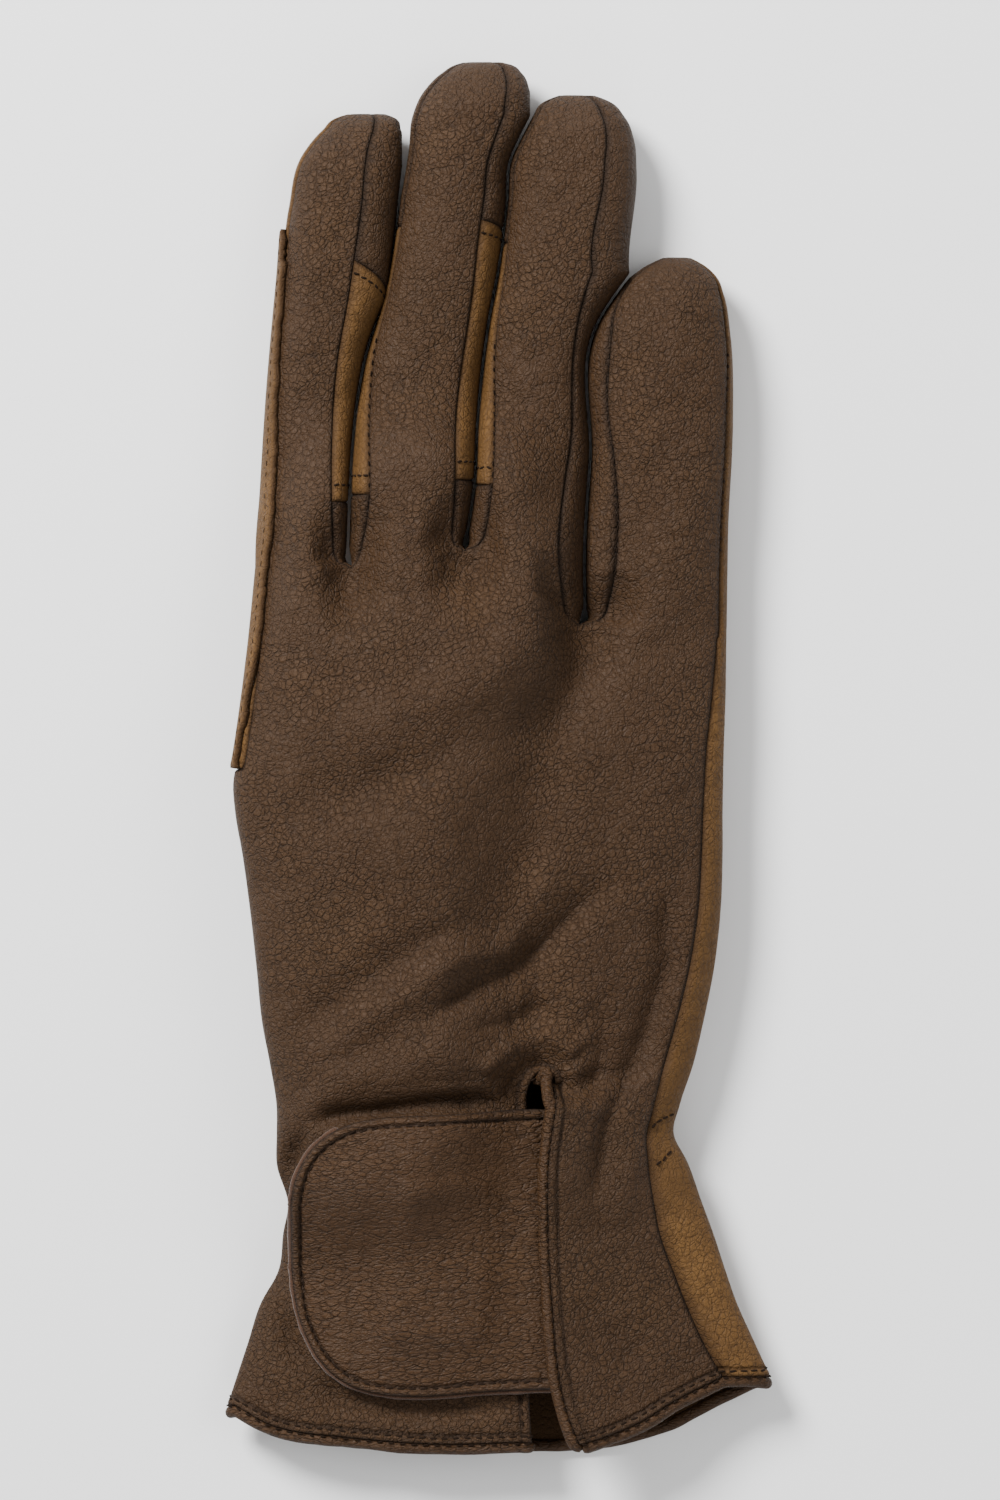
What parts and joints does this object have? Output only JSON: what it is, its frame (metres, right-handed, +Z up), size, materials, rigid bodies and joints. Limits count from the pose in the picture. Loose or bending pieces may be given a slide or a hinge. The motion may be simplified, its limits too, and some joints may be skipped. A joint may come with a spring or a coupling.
{
  "type": "horse riding glove",
  "caption": "Leather riding glove for the right hand, lying palm down: brown back, tan palm and side strips, wide rounded wrist strap, flared cuff.",
  "frame": {"origin": "centre of the glove's outline, on the surface that it lies on", "axes": "+Y along the fingers, +X to the little-finger side, +Z up from the palm to the back"},
  "size_m": [0.0968, 0.2446, 0.0253],
  "materials": {
    "brown_leather": "matte grain",
    "tan_leather": "matte grain",
    "trim_leather": "satin grain",
    "hook_and_loop": "matte"
  },
  "bodies": {
    "root": {"back": "brown_leather", "palm": "tan_leather", "index_right_gusset": "tan_leather", "index_right_tip_gusset": "brown_leather", "index_middle_crotch_gusset": "brown_leather", "middle_left_gusset": "tan_leather", "middle_left_tip_gusset": "brown_leather", "middle_right_gusset": "tan_leather", "middle_right_tip_gusset": "brown_leather", "middle_ring_crotch_gusset": "brown_leather", "ring_left_gusset": "tan_leather", "ring_left_tip_gusset": "brown_leather", "ring_little_gusset": "brown_leather", "thumb_back": "brown_leather", "thumb_front": "tan_leather", "index_side_strip": "tan_leather", "strap": "trim_leather", "strap_patch": "hook_and_loop", "slit_binding": "trim_leather", "hem_binding": "trim_leather"}
  },
  "joints": []
}
